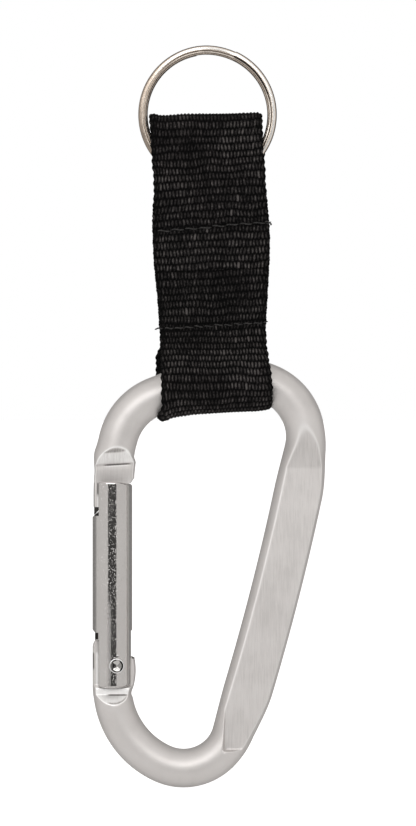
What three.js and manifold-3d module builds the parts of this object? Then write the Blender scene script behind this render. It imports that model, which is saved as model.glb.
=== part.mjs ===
// Carabiner keyring: a split ring, a folded webbing strap and an aluminium snap hook, hanging from the ring.
// Millimetres, +Z up, +X to the right and -Y towards the front. The origin is where a peg bears on the ring:
// the top of the ring's inner edge, in its middle plane.
import * as THREE from "three";
import { mergeVertices } from "three/addons/utils/BufferGeometryUtils.js";
import Module from "manifold-3d";

const wasm = await Module();
wasm.setup();

const deg = THREE.MathUtils.degToRad;

// ---- Driving dimensions ----

// Split ring: two turns of flat wire, joined by a crossing.
const RING_INNER = 10.97;
const RING_OUTER = 12.82;
const RING_WIRE = 1.05; // wire thickness along the ring's axis
const RING_PITCH = 1.14; // from one turn's middle plane to the other's
const RING_CUT = 66; // degrees anticlockwise from +X, where the front turn's cut end is
const RING_TURN = 290; // degrees that each flat turn covers
const RING_CROSSING = 70; // degrees that the crossing between the turns covers
const RING_MID = (RING_INNER + RING_OUTER) / 2;
const RING_CENTRE = new THREE.Vector3(0, 0, -RING_INNER);

// Strap: one strip of webbing, with a loop round the ring's wire and a loop round the hook's bar.
const WEB_WIDTH = 20;
const WEB_THICK = 1.25;
const STRAP_AT = new THREE.Vector3(0.8, 0, -40.9); // halfway between the two fold lines
const STRAP_LEAN = 2.5; // degrees that the strap leans from the vertical
const FOLD_HALF = 10.9; // from the strap's middle to each fold line
const FOLD_GAP = 0.25; // from a fold line to the solid on each side of it
const FOLD_BEVEL = 48; // degrees between a segment's end faces and its middle plane
const MIDDLE_HALF = 1.9; // half the thickness where the strip is three layers
const RING_LOOP_TOP = 30.25; // from the strap's middle to the top of the ring loop
const RING_LOOP_HALF = 2.9; // half the ring loop's outer thickness
const RING_LOOP_NECK = 17; // height where the ring loop starts to narrow
const HOOK_LOOP_CENTRE = -20.0; // height of the hook loop's round middle
const HOOK_LOOP_INNER = 5.45;
const SEAM_HEIGHT = 8.9; // from the strap's middle to each seam
const STITCHES = 9;
const STITCH_PITCH = 2;
const THREAD = 0.5;

// Hook: a round rod, with a pressed flat spine and a stamped blade at each end.
const ROD = 3.6; // the rod's radius
const ROD_START = new THREE.Vector3(-17.65, 0, -81.2);
// Arc length and clockwise turn in degrees, one row for each stretch, from the nose round to the pivot end.
const ROD_BENDS = [
  [10.0, 12.1], // nose
  [11.2, 56.9], // upper left bend
  [5.2, -3.6],
  [16.7, 46.9], // the arched bar that the strap hangs the hook from
  [14.9, 78.7], // upper right bend
  [54.2, 6.6], // spine
  [15.9, 96.5], // lower bend
  [18.1, 65.9], // lower left bend, up to the gate
];
const ROD_STEP = 2; // the longest stretch between two of the rod's sections
const ROD_SIDES = 24;
const SPINE_OUTER = 5.05; // from the rod's line to the spine's outer edge
const SPINE_INNER = 4.05; // from the rod's line to the spine's inner edge
const SPINE_HALF = 2.5; // half the spine's thickness
const SPINE_TOP = -68.6; // height where the flat starts
const SPINE_BOTTOM = -129.4; // height where the flat ends
const SPINE_EASE = 12.6; // height over which the spine widens from round
const SPINE_ROUND_INNER = 3.3; // the larger these are, the nearer the flat comes to that edge
const SPINE_ROUND_OUTER = 5.4;
const SPINE_SIDE = -6; // the spine's pressed shape is only to the right of this
const PRESS_PACE = 3; // how many times faster the spine's thickness changes than its width
const BLADE_HALF = 1.25; // half the thickness of both blades
const NOSE_BLADE_LEFT = 3.35; // from the gate's axis to each edge of each blade
const NOSE_BLADE_RIGHT = 3.4;
const PIVOT_BLADE_LEFT = 3.45;
const PIVOT_BLADE_RIGHT = 4.3;
const NOSE_FACET = [-73.6, -76.2]; // heights where the nose's sloping facet starts and ends
const PIVOT_FACET = [-120.4, -118.2];
const NOSE_ROOT = -77.6; // height where the round rod gives way to the nose's blade
const PIVOT_ROOT = -117.6;
const STAMP_SIDE = -10; // the stamped ends are to the left of this
const STAMP_REACH = 6; // how far past its facet a stamped end goes
const NOSE_CLEAR = 2.4; // how far past the rod's surface the gate's room is cut

// Gate: a sleeve with a pocket for the nose's blade, a bore for the spring, and a cross hole for its rivet.
const GATE_AXIS = -17.65;
const GATE_RADIUS = 3.6;
const GATE_BORE = 2.8;
const GATE_TOP = -78.9;
const GATE_BOTTOM = -116.7;
const GATE_ROUND = 0.5;
const POCKET_FLOOR = -84.6;
const SPRING_SEAT = -92;
const NOTCH_DEPTH = 1.1; // depth of the flats milled on the gate's outer side
const UPPER_NOTCH = -84.2; // height where the upper flat ends
const LOWER_NOTCH = -106.9; // height where the lower flat starts
const INNER_SLOT = -106.4; // height where the slot on the inner side starts
const SLOT_HALF = 1.55;
const PIVOT = new THREE.Vector3(-16.8, 0, -112.8);
const RIVET_RADIUS = 1.25;
const RIVET_HOLE = 1.33;
const RIVET_HALF = 3.65;
const RIVET_DOME = 0.25;

// Spring and plunger, in the gate's bore.
const PLUNGER_BOTTOM = -109.3;
const PLUNGER_HEAD = 2.5;
const PLUNGER_HEAD_TALL = 1.8;
const PLUNGER_STEM = 1.2;
const PLUNGER_STEM_TALL = 6;
const SPRING_WIRE = 0.5;
const SPRING_MEAN = 2.05;
const SPRING_TURNS = 8;
const SPRING_GAP = 0.3;

// ---- Materials ----

const metal = (color, roughness) => new THREE.MeshStandardMaterial({ color, roughness, metalness: 1 });
const cloth = (color) => new THREE.MeshStandardMaterial({ color, roughness: 0.95, metalness: 0 });

// ---- Helpers ----

/** A closed three.js geometry as a manifold solid. */
function solidOf(geometry) {
  const bare = geometry.clone();
  bare.deleteAttribute("normal");
  bare.deleteAttribute("uv");
  const merged = mergeVertices(bare, 1e-4);
  return new wasm.Manifold(
    new wasm.Mesh({
      numProp: 3,
      vertProperties: new Float32Array(merged.attributes.position.array),
      triVerts: new Uint32Array(merged.index.array),
    })
  );
}

/** A manifold solid as a three.js geometry. */
function geometryOf(solid) {
  const mesh = solid.getMesh();
  const geometry = new THREE.BufferGeometry();
  geometry.setAttribute("position", new THREE.BufferAttribute(mesh.vertProperties, 3));
  geometry.setIndex(new THREE.BufferAttribute(mesh.triVerts, 1));
  geometry.computeVertexNormals();
  return geometry;
}

function named(name, geometry, material) {
  const mesh = new THREE.Mesh(geometry, material);
  mesh.name = name;
  return mesh;
}

/** A box between two corners. */
function boxBetween(low, high) {
  const size = new THREE.Vector3().subVectors(high, low);
  const middle = new THREE.Vector3().addVectors(low, high).multiplyScalar(0.5);
  return new THREE.BoxGeometry(size.x, size.y, size.z).translate(middle.x, middle.y, middle.z);
}

/** A cylinder along Y through a point of the hook's plane. */
function crossPin(at, radius, half, sides = 24) {
  return new THREE.CylinderGeometry(radius, radius, 2 * half, sides).translate(at.x, at.y, at.z);
}

/** An outline of [x, z] points in the hook's plane, given a thickness along Y. */
function plate(points, half) {
  const shape = new THREE.Shape(points.map(([x, z]) => new THREE.Vector2(x, z)));
  const geometry = new THREE.ExtrudeGeometry(shape, { depth: 2 * half, bevelEnabled: false });
  return geometry.rotateX(Math.PI / 2).translate(0, half, 0);
}

/** A [y, z] profile extruded along X by the strap's width. */
function across(shape, width) {
  const geometry = new THREE.ExtrudeGeometry(shape, { depth: width, bevelEnabled: false, curveSegments: 14 });
  const turn = new THREE.Matrix4().makeBasis(
    new THREE.Vector3(0, 1, 0),
    new THREE.Vector3(0, 0, 1),
    new THREE.Vector3(1, 0, 0)
  );
  return geometry.applyMatrix4(turn).translate(-width / 2, 0, 0);
}

/** A circle's points as a shape, for a section. */
function circleShape(radius, sides) {
  const points = [];
  for (let i = 0; i < sides; i++) {
    const angle = (2 * Math.PI * i) / sides;
    points.push(new THREE.Vector2(radius * Math.cos(angle), radius * Math.sin(angle)));
  }
  return new THREE.Shape(points);
}

// ---- Split ring ----

/** The wire's middle line: a front turn, a crossing that moves it back by one pitch, and a back turn. */
class RingLine extends THREE.Curve {
  getPoint(t, target = new THREE.Vector3()) {
    const gone = t * (2 * RING_TURN + RING_CROSSING);
    const crossed = THREE.MathUtils.smoothstep(gone, RING_TURN, RING_TURN + RING_CROSSING);
    const angle = deg(RING_CUT - gone);
    return target
      .set(RING_MID * Math.cos(angle), RING_PITCH * (crossed - 0.5), RING_MID * Math.sin(angle))
      .add(RING_CENTRE);
  }
}

function splitRing() {
  const [halfWire, halfBand, corner] = [RING_WIRE / 2, (RING_OUTER - RING_INNER) / 2, 0.25];
  const section = new THREE.Shape([
    new THREE.Vector2(-halfWire + corner, -halfBand),
    new THREE.Vector2(halfWire - corner, -halfBand),
    new THREE.Vector2(halfWire, -halfBand + corner),
    new THREE.Vector2(halfWire, halfBand - corner),
    new THREE.Vector2(halfWire - corner, halfBand),
    new THREE.Vector2(-halfWire + corner, halfBand),
    new THREE.Vector2(-halfWire, halfBand - corner),
    new THREE.Vector2(-halfWire, -halfBand + corner),
  ]);
  const geometry = new THREE.ExtrudeGeometry(section, { steps: 104, extrudePath: new RingLine() });
  return named("split_ring", geometry, metal(0xb0a291, 0.25));
}

// ---- Strap ----

/** The height at which a segment's bevelled end reaches its full thickness, from its fold line. */
const BEVEL_RISE = FOLD_GAP + MIDDLE_HALF / Math.tan(deg(FOLD_BEVEL));

function ringLoop() {
  const base = FOLD_HALF;
  const inner = RING_LOOP_HALF - WEB_THICK;
  const centre = RING_LOOP_TOP - RING_LOOP_HALF;
  const outline = new THREE.Shape();
  outline.moveTo(0, base + FOLD_GAP);
  outline.lineTo(MIDDLE_HALF, base + BEVEL_RISE);
  outline.lineTo(RING_LOOP_HALF, RING_LOOP_NECK);
  outline.lineTo(RING_LOOP_HALF, centre);
  outline.absarc(0, centre, RING_LOOP_HALF, 0, Math.PI, false);
  outline.lineTo(-RING_LOOP_HALF, RING_LOOP_NECK);
  outline.lineTo(-MIDDLE_HALF, base + BEVEL_RISE);
  const hole = new THREE.Path();
  hole.moveTo(0, base + BEVEL_RISE + 0.8);
  hole.lineTo(inner, RING_LOOP_NECK - 1);
  hole.lineTo(inner, centre);
  hole.absarc(0, centre, inner, 0, Math.PI, false);
  hole.lineTo(-inner, RING_LOOP_NECK - 1);
  outline.holes.push(hole);
  return named("strap_ring_loop", across(outline, WEB_WIDTH), cloth(0x161414));
}

/** The bare middle, pierced by the two rows of stitches. */
function strapMiddle() {
  const tip = FOLD_HALF - FOLD_GAP;
  const shoulder = FOLD_HALF - BEVEL_RISE;
  const outline = new THREE.Shape([
    new THREE.Vector2(0, -tip),
    new THREE.Vector2(MIDDLE_HALF, -shoulder),
    new THREE.Vector2(MIDDLE_HALF, shoulder),
    new THREE.Vector2(0, tip),
    new THREE.Vector2(-MIDDLE_HALF, shoulder),
    new THREE.Vector2(-MIDDLE_HALF, -shoulder),
  ]);
  let solid = solidOf(across(outline, WEB_WIDTH));
  for (const side of [-1, 1]) {
    for (let i = 0; i < STITCHES; i++) {
      solid = solid.subtract(solidOf(crossPin(stitchPlace(i, side), THREAD, 2 * MIDDLE_HALF, 8)));
    }
  }
  return named("strap_middle", geometryOf(solid), cloth(0x161414));
}

/** Where a stitch goes through the strap. The side is 1 for the upper seam and -1 for the lower one. */
function stitchPlace(i, side) {
  return new THREE.Vector3((i - (STITCHES - 1) / 2) * STITCH_PITCH, 0, side * (SEAM_HEIGHT - 1));
}

/** A row of stitches: a run of thread on each face, joined through the strap at each stitch. */
function seamThread(name, side) {
  const face = MIDDLE_HALF + THREAD / 2 + 0.2;
  const first = stitchPlace(0, side);
  const last = stitchPlace(STITCHES - 1, side);
  let solid = null;
  for (const front of [-1, 1]) {
    const low = new THREE.Vector3(first.x - THREAD, front * face - THREAD / 2, first.z - THREAD / 2);
    const high = new THREE.Vector3(last.x + THREAD, front * face + THREAD / 2, last.z + THREAD / 2);
    const run = solidOf(boxBetween(low, high));
    solid = solid ? solid.add(run) : run;
  }
  for (let i = 0; i < STITCHES; i++) {
    solid = solid.add(solidOf(crossPin(stitchPlace(i, side), THREAD * 0.4, face, 8)));
  }
  return named(name, geometryOf(solid), cloth(0x1c1a1a));
}

function hookLoop() {
  const base = -FOLD_HALF;
  const outer = HOOK_LOOP_INNER + WEB_THICK;
  const start = deg(62); // where the round loop meets the straight legs, from the horizontal
  const outline = new THREE.Shape();
  outline.moveTo(0, base - FOLD_GAP);
  outline.lineTo(-MIDDLE_HALF, base - BEVEL_RISE);
  outline.absarc(0, HOOK_LOOP_CENTRE, outer, Math.PI - start, 2 * Math.PI + start, false);
  outline.lineTo(MIDDLE_HALF, base - BEVEL_RISE);
  const hole = new THREE.Path();
  hole.absarc(0, HOOK_LOOP_CENTRE, HOOK_LOOP_INNER, 0, 2 * Math.PI, true);
  outline.holes.push(hole);
  return named("strap_hook_loop", across(outline, WEB_WIDTH), cloth(0x161414));
}

function strap() {
  const group = new THREE.Group();
  group.position.copy(STRAP_AT);
  group.rotation.y = -deg(STRAP_LEAN);
  group.add(
    ringLoop(),
    strapMiddle(),
    hookLoop(),
    seamThread("upper_seam_thread", 1),
    seamThread("lower_seam_thread", -1)
  );
  return group;
}

// ---- Hook body ----

/** Points along the rod's line, each with the direction in which the rod runs. */
function rodStations() {
  const stations = [];
  let at = ROD_START.clone();
  let heading = 90;
  for (const [length, turn] of ROD_BENDS) {
    const count = Math.ceil(length / ROD_STEP);
    for (let i = 0; i < count; i++) {
      stations.push({ at: at.clone(), heading });
      const chord = deg(heading - turn / count / 2);
      const step = new THREE.Vector3(Math.cos(chord), 0, Math.sin(chord)).multiplyScalar(length / count);
      at = at.clone().add(step);
      heading -= turn / count;
    }
  }
  stations.push({ at, heading });
  return stations;
}

/** How much of the spine's pressed shape a station has, from 0 to 1. */
function spineShare(at) {
  if (at.x < SPINE_SIDE) {
    return 0;
  }
  const { smoothstep } = THREE.MathUtils;
  return smoothstep(SPINE_TOP - at.z, 0, SPINE_EASE) * smoothstep(at.z - SPINE_BOTTOM, 0, SPINE_EASE);
}

/** Half the rod's thickness at a station: pressed on the spine, and stamped down to the blades at its ends. */
function halfThickness(at) {
  const { clamp, inverseLerp, lerp } = THREE.MathUtils;
  const press = clamp(PRESS_PACE * spineShare(at), 0, 1);
  let half = lerp(ROD, SPINE_HALF, press);
  for (const [full, thin] of [NOSE_FACET, PIVOT_FACET]) {
    const isEnd = at.x < STAMP_SIDE && Math.abs(at.z - thin) < Math.abs(full - thin) + STAMP_REACH;
    const stamped = isEnd ? clamp(inverseLerp(full, thin, at.z), 0, 1) : 0;
    half = Math.min(half, lerp(ROD, BLADE_HALF, stamped));
  }
  return half;
}

/** The rod's section at a station, as [across, y] pairs: a round whose top and bottom are cut flat. */
function rodSection(at) {
  const share = spineShare(at);
  const { lerp, clamp } = THREE.MathUtils;
  const flat = halfThickness(at);
  const section = [];
  for (let i = 0; i < ROD_SIDES; i++) {
    const angle = (2 * Math.PI * i) / ROD_SIDES;
    const outer = Math.cos(angle) > 0;
    const reach = lerp(ROD, outer ? SPINE_OUTER : SPINE_INNER, share);
    const round = lerp(ROD, outer ? SPINE_ROUND_OUTER : SPINE_ROUND_INNER, share);
    section.push([reach * Math.cos(angle), clamp(round * Math.sin(angle), -flat, flat)]);
  }
  return section;
}

/** A closed loft through the rod's sections. */
function rodGeometry() {
  const sides = ROD_SIDES;
  const stations = rodStations();
  const points = [];
  const faces = [];
  for (const { at, heading } of stations) {
    const outward = new THREE.Vector3(-Math.sin(deg(heading)), 0, Math.cos(deg(heading)));
    for (const [reach, y] of rodSection(at)) {
      points.push(at.x + outward.x * reach, y, at.z + outward.z * reach);
    }
  }
  for (let s = 0; s + 1 < stations.length; s++) {
    for (let i = 0; i < sides; i++) {
      const [a, b] = [s * sides + i, s * sides + ((i + 1) % sides)];
      faces.push(a, a + sides, b, b, a + sides, b + sides);
    }
  }
  const end = (stations.length - 1) * sides;
  for (let i = 1; i + 1 < sides; i++) {
    faces.push(0, i, i + 1, end, end + i + 1, end + i);
  }
  const geometry = new THREE.BufferGeometry();
  geometry.setAttribute("position", new THREE.Float32BufferAttribute(points, 3));
  geometry.setIndex(faces);
  return geometry;
}

/** The nose's blade, which hangs into the gate's pocket and ends in a small hook. */
function noseBlade() {
  const left = GATE_AXIS - NOSE_BLADE_LEFT;
  const right = GATE_AXIS + NOSE_BLADE_RIGHT;
  return plate(
    [
      [left, NOSE_ROOT + 1],
      [left, -83.4],
      [left + 0.5, -83.7],
      [left + 1.5, -83.7],
      [left + 1.8, -83.2],
      [left + 1.8, -82.6],
      [left + 2.6, -82.3],
      [left + 3.2, -83.3],
      [left + 4.4, -83.3],
      [left + 5.2, -82.5],
      [left + 5.3, -79.3],
      [right, -77.9],
      [right, NOSE_ROOT + 1],
    ],
    BLADE_HALF
  );
}

/** The pivot end's blade, with the rivet's hole. The plunger rests on its top. */
function pivotBlade() {
  const left = GATE_AXIS - PIVOT_BLADE_LEFT;
  const right = GATE_AXIS + PIVOT_BLADE_RIGHT;
  const top = PLUNGER_BOTTOM - SPRING_GAP;
  const blade = plate(
    [
      [left, PIVOT_ROOT - 1],
      [left, -108.2],
      [left + 0.4, -107.8],
      [left + 0.75, -108.1],
      [left + 0.75, top],
      [PIVOT.x + 1.5, top],
      [PIVOT.x + 2.4, top - 1],
      [right, -111.2],
      [right, -117],
      [right - 0.8, PIVOT_ROOT - 1],
    ],
    BLADE_HALF
  );
  return solidOf(blade).subtract(solidOf(crossPin(PIVOT, RIVET_HOLE, 2 * BLADE_HALF)));
}

function hookBody() {
  const reach = ROD + NOSE_CLEAR;
  const low = new THREE.Vector3(GATE_AXIS - reach, -reach, PIVOT_ROOT);
  const high = new THREE.Vector3(GATE_AXIS + reach, reach, NOSE_ROOT);
  const solid = solidOf(rodGeometry())
    .subtract(solidOf(boxBetween(low, high)))
    .add(solidOf(noseBlade()))
    .add(pivotBlade());
  return named("hook_body", geometryOf(solid), metal(0xc6c2bf, 0.35));
}

// ---- Gate ----

function gateSleeve() {
  const inset = GATE_RADIUS - GATE_ROUND;
  const profile = [
    [0, SPRING_SEAT],
    [GATE_BORE, SPRING_SEAT],
    [GATE_BORE, GATE_BOTTOM],
    [inset, GATE_BOTTOM],
    [inset + GATE_ROUND * 0.7, GATE_BOTTOM + GATE_ROUND * 0.3],
    [GATE_RADIUS, GATE_BOTTOM + GATE_ROUND],
    [GATE_RADIUS, GATE_TOP - GATE_ROUND],
    [inset + GATE_ROUND * 0.7, GATE_TOP - GATE_ROUND * 0.3],
    [inset, GATE_TOP],
    [GATE_BORE, GATE_TOP],
    [GATE_BORE, POCKET_FLOOR],
    [0, POCKET_FLOOR],
  ].map(([radius, z]) => new THREE.Vector2(radius, z));
  return solidOf(new THREE.LatheGeometry(profile, 32).rotateX(Math.PI / 2));
}

function gate() {
  const outer = GATE_AXIS - GATE_RADIUS;
  const flat = outer + NOTCH_DEPTH;
  // Both milled flats, the upper one ending in a slope.
  const upper = plate(
    [
      [outer - 1, GATE_TOP + 1],
      [outer - 1, UPPER_NOTCH - NOTCH_DEPTH - 1],
      [flat, UPPER_NOTCH],
      [flat, GATE_TOP + 1],
    ],
    GATE_RADIUS + 1
  );
  const lower = plate(
    [
      [outer - 1, LOWER_NOTCH],
      [outer - 1, GATE_BOTTOM - 1],
      [flat, GATE_BOTTOM - 1],
      [flat, LOWER_NOTCH],
    ],
    GATE_RADIUS + 1
  );
  const slots = [
    [outer - 1, GATE_AXIS, UPPER_NOTCH, GATE_TOP + 1],
    [outer - 1, GATE_AXIS, GATE_BOTTOM - 1, LOWER_NOTCH],
    [GATE_AXIS, GATE_AXIS + GATE_RADIUS + 1, GATE_BOTTOM - 1, INNER_SLOT],
  ].map(([left, right, low, high]) =>
    boxBetween(new THREE.Vector3(left, -SLOT_HALF, low), new THREE.Vector3(right, SLOT_HALF, high))
  );
  let solid = gateSleeve().translate(GATE_AXIS, 0, 0);
  for (const cut of [upper, lower, ...slots, crossPin(PIVOT, RIVET_HOLE, GATE_RADIUS + 1)]) {
    solid = solid.subtract(solidOf(cut));
  }
  return named("gate_sleeve", geometryOf(solid), metal(0xb9b5b1, 0.15));
}

function pivotRivet() {
  const profile = [
    [0, -RIVET_HALF - RIVET_DOME],
    [RIVET_RADIUS * 0.6, -RIVET_HALF - RIVET_DOME * 0.7],
    [RIVET_RADIUS, -RIVET_HALF],
    [RIVET_RADIUS, RIVET_HALF],
    [RIVET_RADIUS * 0.6, RIVET_HALF + RIVET_DOME * 0.7],
    [0, RIVET_HALF + RIVET_DOME],
  ].map(([radius, y]) => new THREE.Vector2(radius, y));
  const geometry = new THREE.LatheGeometry(profile, 24).translate(PIVOT.x, 0, PIVOT.z);
  return named("pivot_rivet", geometry, metal(0xa9a49d, 0.3));
}

/** The spring's wire, wound round the gate's axis from its seat down to the plunger's head. */
class SpringLine extends THREE.Curve {
  getPoint(t, target = new THREE.Vector3()) {
    const top = SPRING_SEAT - SPRING_GAP - SPRING_WIRE / 2;
    const bottom = PLUNGER_BOTTOM + PLUNGER_HEAD_TALL + SPRING_GAP + SPRING_WIRE / 2;
    const angle = 2 * Math.PI * SPRING_TURNS * t;
    return target.set(
      GATE_AXIS + SPRING_MEAN * Math.cos(angle),
      SPRING_MEAN * Math.sin(angle),
      THREE.MathUtils.lerp(top, bottom, t)
    );
  }
}

function gateSpring() {
  const section = circleShape(SPRING_WIRE / 2, 6);
  const geometry = new THREE.ExtrudeGeometry(section, { steps: SPRING_TURNS * 14, extrudePath: new SpringLine() });
  return named("gate_spring", geometry, metal(0x8f8c88, 0.3));
}

function gatePlunger() {
  const profile = [
    [0, 0],
    [PLUNGER_HEAD - 0.3, 0],
    [PLUNGER_HEAD, 0.3],
    [PLUNGER_HEAD, PLUNGER_HEAD_TALL],
    [PLUNGER_STEM, PLUNGER_HEAD_TALL],
    [PLUNGER_STEM, PLUNGER_HEAD_TALL + PLUNGER_STEM_TALL],
    [0, PLUNGER_HEAD_TALL + PLUNGER_STEM_TALL],
  ].map(([radius, z]) => new THREE.Vector2(radius, z));
  const geometry = new THREE.LatheGeometry(profile, 24).rotateX(Math.PI / 2);
  geometry.translate(GATE_AXIS, 0, PLUNGER_BOTTOM);
  return named("gate_plunger", geometry, metal(0xb08d57, 0.35));
}

// ---- Assembly ----

const keyring = new THREE.Group();
keyring.add(splitRing(), strap(), hookBody(), gate(), pivotRivet(), gateSpring(), gatePlunger());

export default keyring;
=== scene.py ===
"""Carabiner keyring: split ring, folded webbing strap and aluminium snap hook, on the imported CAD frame.

Lengths are millimetres until a mesh is made, except where a comment says metres. +Z is up, +X to the right, and
-Y towards the camera.
"""

import math

import bpy
import numpy as np
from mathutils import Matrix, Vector

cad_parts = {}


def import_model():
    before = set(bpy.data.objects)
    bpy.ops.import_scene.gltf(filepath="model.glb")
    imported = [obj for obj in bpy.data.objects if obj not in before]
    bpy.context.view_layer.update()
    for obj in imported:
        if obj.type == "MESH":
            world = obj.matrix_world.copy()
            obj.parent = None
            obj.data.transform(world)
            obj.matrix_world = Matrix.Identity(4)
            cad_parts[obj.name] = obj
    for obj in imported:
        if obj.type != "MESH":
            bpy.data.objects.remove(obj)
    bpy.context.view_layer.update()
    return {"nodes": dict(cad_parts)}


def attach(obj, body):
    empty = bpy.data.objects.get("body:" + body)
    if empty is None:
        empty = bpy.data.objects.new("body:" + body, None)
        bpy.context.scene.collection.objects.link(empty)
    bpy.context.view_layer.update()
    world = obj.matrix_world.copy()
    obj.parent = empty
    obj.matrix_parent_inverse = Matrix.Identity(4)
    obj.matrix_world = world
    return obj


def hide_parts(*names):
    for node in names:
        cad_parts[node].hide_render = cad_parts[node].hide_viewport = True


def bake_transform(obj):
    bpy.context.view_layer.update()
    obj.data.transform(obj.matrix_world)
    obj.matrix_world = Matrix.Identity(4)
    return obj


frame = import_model()

MM = 0.001
scene = bpy.context.scene

# ---- Driving dimensions ----

# Camera
CAMERA_AT = (0.09, -900, -66.2)
LENS = 211.8
FLOOR = -136.4
FLOOR_GLOW = 0.6

# Light: a belt at eye height, dimmer behind the object, and a brighter sky
BELT = 0.78
BEHIND = 0.4
SKY = 0.95
BELOW = 0.65
PANEL_POWER = 6.3
PANEL_AT = (-0.22, -1.2, 0.4)  # metres, as are the two below
PANEL_AIM = (0, 0, -0.07)
PANEL_SIZE = (1.2, 0.45)

# Split ring
RING_CENTRE = (0.0, -10.97)
RING_FRONT = 11.96  # middle radius of the front turn
RING_BACK = 11.93
RING_BAND = 0.86  # half the wire's radial width
RING_WIRE = 0.5  # half the wire's thickness
RING_PITCH = 1.08
RING_CUT = 66
RING_TURN = 326
RING_CROSSING = 34
RING_GAP = 60  # the painted shadow in the gap between the turns, from the cut end on

# Strap. Heights are along the strap, from halfway between its two fold lines.
STRAP_AT = (0.8, -40.9)
LEAN = math.radians(2.5)
FOLD = 10.9
WEB = 1.14  # thickness of the webbing
LAYER = 1.27  # from one layer's middle to the next one's
SPLIT = 1.1  # height of the rib where the two meshes meet on the front
RING_LOOP_TOP = 29.65
RING_LOOP_HALF = 2.3
RING_LOOP_NECK = 17.5
UPPER_END = -9.4  # where the end that hangs from the ring loop is cut
LOWER_END = 10.2  # where the end that comes up from the hook loop is cut
HOOK_LOOP_CENTRE = -20.0
HOOK_LOOP_HALF = 5.85
HOOK_LOOP_DROP = 4.95
ROW = 1.38  # pitch of the ribs
GRAINS = 32  # warp threads across the strap
RELIEF = 0.34
# The strap's edges, as (height, distance from the middle)
LEFT_EDGE = [
    (31, -10.2), (22, -10.1), (17, -9.85), (11, -10.5), (3, -10.55), (-4, -10.1),
    (-14, -9.95), (-22, -10.2), (-27, -10.3),
]
RIGHT_EDGE = [
    (31, 10.5), (18, 10.45), (12, 10.85), (8, 11.0), (3, 10.75), (-5, 9.95),
    (-10, 9.4), (-15, 9.6), (-18, 10.1), (-22, 10.3), (-25, 9.95), (-27, 9.7),
]
UPPER_SEAM = (9.1, 0.043)  # height at the middle, and rise for each millimetre to the right
LOWER_SEAM = (-9.15, 0.02)

# Hook: the rod's line as (arc length, clockwise turn in degrees), from the nose round to the pivot end
ROD = 3.6
ROD_START = (-17.65, -81.2)
ROD_BENDS = [
    (10.0, 12.1), (11.2, 56.9), (5.2, -3.6), (16.7, 46.9),
    (14.9, 78.7), (54.2, 6.6), (15.9, 96.5), (18.1, 65.9),
]
NOSE_BELOW = 2.4  # straight ends that carry the blades
PIVOT_ABOVE = 8.9
ROD_STEP = 0.3
FINE_STEP = 0.1
SPINE_OUTER = 5.05
SPINE_INNER = 4.05
SPINE_HALF = 2.5
SPINE_TOP = -68.6
SPINE_BOTTOM = -129.4
SPINE_EASE = 12.6
PRESS_TOP = -76.2  # the pressed flat's full depth ends here, and rises gently to the top
PRESS_RISE = 0.15
PRESS_BOTTOM = -128.4
PRESS_LEFT = 3.2
SPINE_ROUND_INNER = 3.3
SPINE_ROUND_OUTER = 5.4
SPINE_SIDE = -6
BLADE = 1.25
NOSE_FLAT = 1.5  # half the thickness at the nose's crease, from where it thins to the blade
NOSE_CREASE = -75.8
NOSE_SLOPE = 0.64
NOSE_TILT = 0.06
NOSE_SIDE = 0.08
PIVOT_FLAT = 2.0
PIVOT_CREASE = -118.3
PIVOT_SLOPE = 0.86
STAMP_SIDE = -10

# Gate
GATE_AXIS = -17.62
GATE_RADIUS = 3.68
GATE_BORE = 2.8
GATE_TOP = -78.85
GATE_BOTTOM = -117.0
GATE_ROUND = 0.45
GATE_BOW = 0.03  # how the sleeve's ends curve, per square millimetre from the axis
GATE_FLAT = -20.1
GATE_WALL = 0.3  # the least wall between a milled flat and the bore
UPPER_NOTCH = -84.25
LOWER_NOTCH = -106.75
POCKET_FLOOR = -84.9
SPRING_SEAT = -92
SLOT = 1.32
INNER_SLOT = -106.4
SLOT_SHADOW = -107.4  # the recess above the pivot's blade
RECESS = -20.8
PIVOT = (-16.76, -112.87)
RIVET = 1.36
RIVET_FACE = 3.78
SPRING_TOP = -92.55
SPRING_BOTTOM = -106.95
SPRING_MEAN = 2.05
SPRING_WIRE = 0.25  # half the wire's thickness
SPRING_TURNS = 8
DIMPLE = 0.3


# ---- Helpers ----


def smooth(x, low, high):
    t = np.clip((np.asarray(x, float) - low) / (high - low), 0, 1)
    return t * t * (3 - 2 * t)


def bump(x, middle, half):
    """A soft bump of height 1 about a middle."""
    return np.exp(-(((np.asarray(x, float) - middle) / half) ** 2))


def soft_min(a, b, k):
    h = np.clip(0.5 + 0.5 * (b - a) / k, 0, 1)
    return b + (a - b) * h - k * h * (1 - h)


def grid_faces(rows, cols, close_cols=True):
    r = np.arange(rows - 1)[:, None]
    c = np.arange(cols if close_cols else cols - 1)[None, :]
    n = (c + 1) % cols
    faces = np.stack([r * cols + c, r * cols + n, (r + 1) * cols + n, (r + 1) * cols + c], -1)
    return faces.reshape(-1, 4)


def mesh_object(name, points, faces, material, sharp=40):
    """A smooth-shaded mesh from points in millimetres."""
    mesh = bpy.data.meshes.new(name)
    mesh.from_pydata((np.asarray(points, float).reshape(-1, 3) * MM).tolist(), [], faces)
    mesh.update()
    obj = bpy.data.objects.new(name, mesh)
    scene.collection.objects.link(obj)
    mesh.materials.append(material)
    mesh.shade_smooth()
    mesh.set_sharp_from_angle(angle=math.radians(sharp))
    return obj


def tube_mesh(name, rings, material, sharp=40, flip=False):
    """A closed loft through rings of points, capped at both ends."""
    rings = np.asarray(rings, float)
    rows, cols = rings.shape[:2]
    faces = grid_faces(rows, cols).tolist()
    faces.append(list(range(cols))[::-1])
    faces.append([(rows - 1) * cols + i for i in range(cols)])
    if flip:
        faces = [f[::-1] for f in faces]
    return mesh_object(name, rings, faces, material, sharp)


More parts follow.
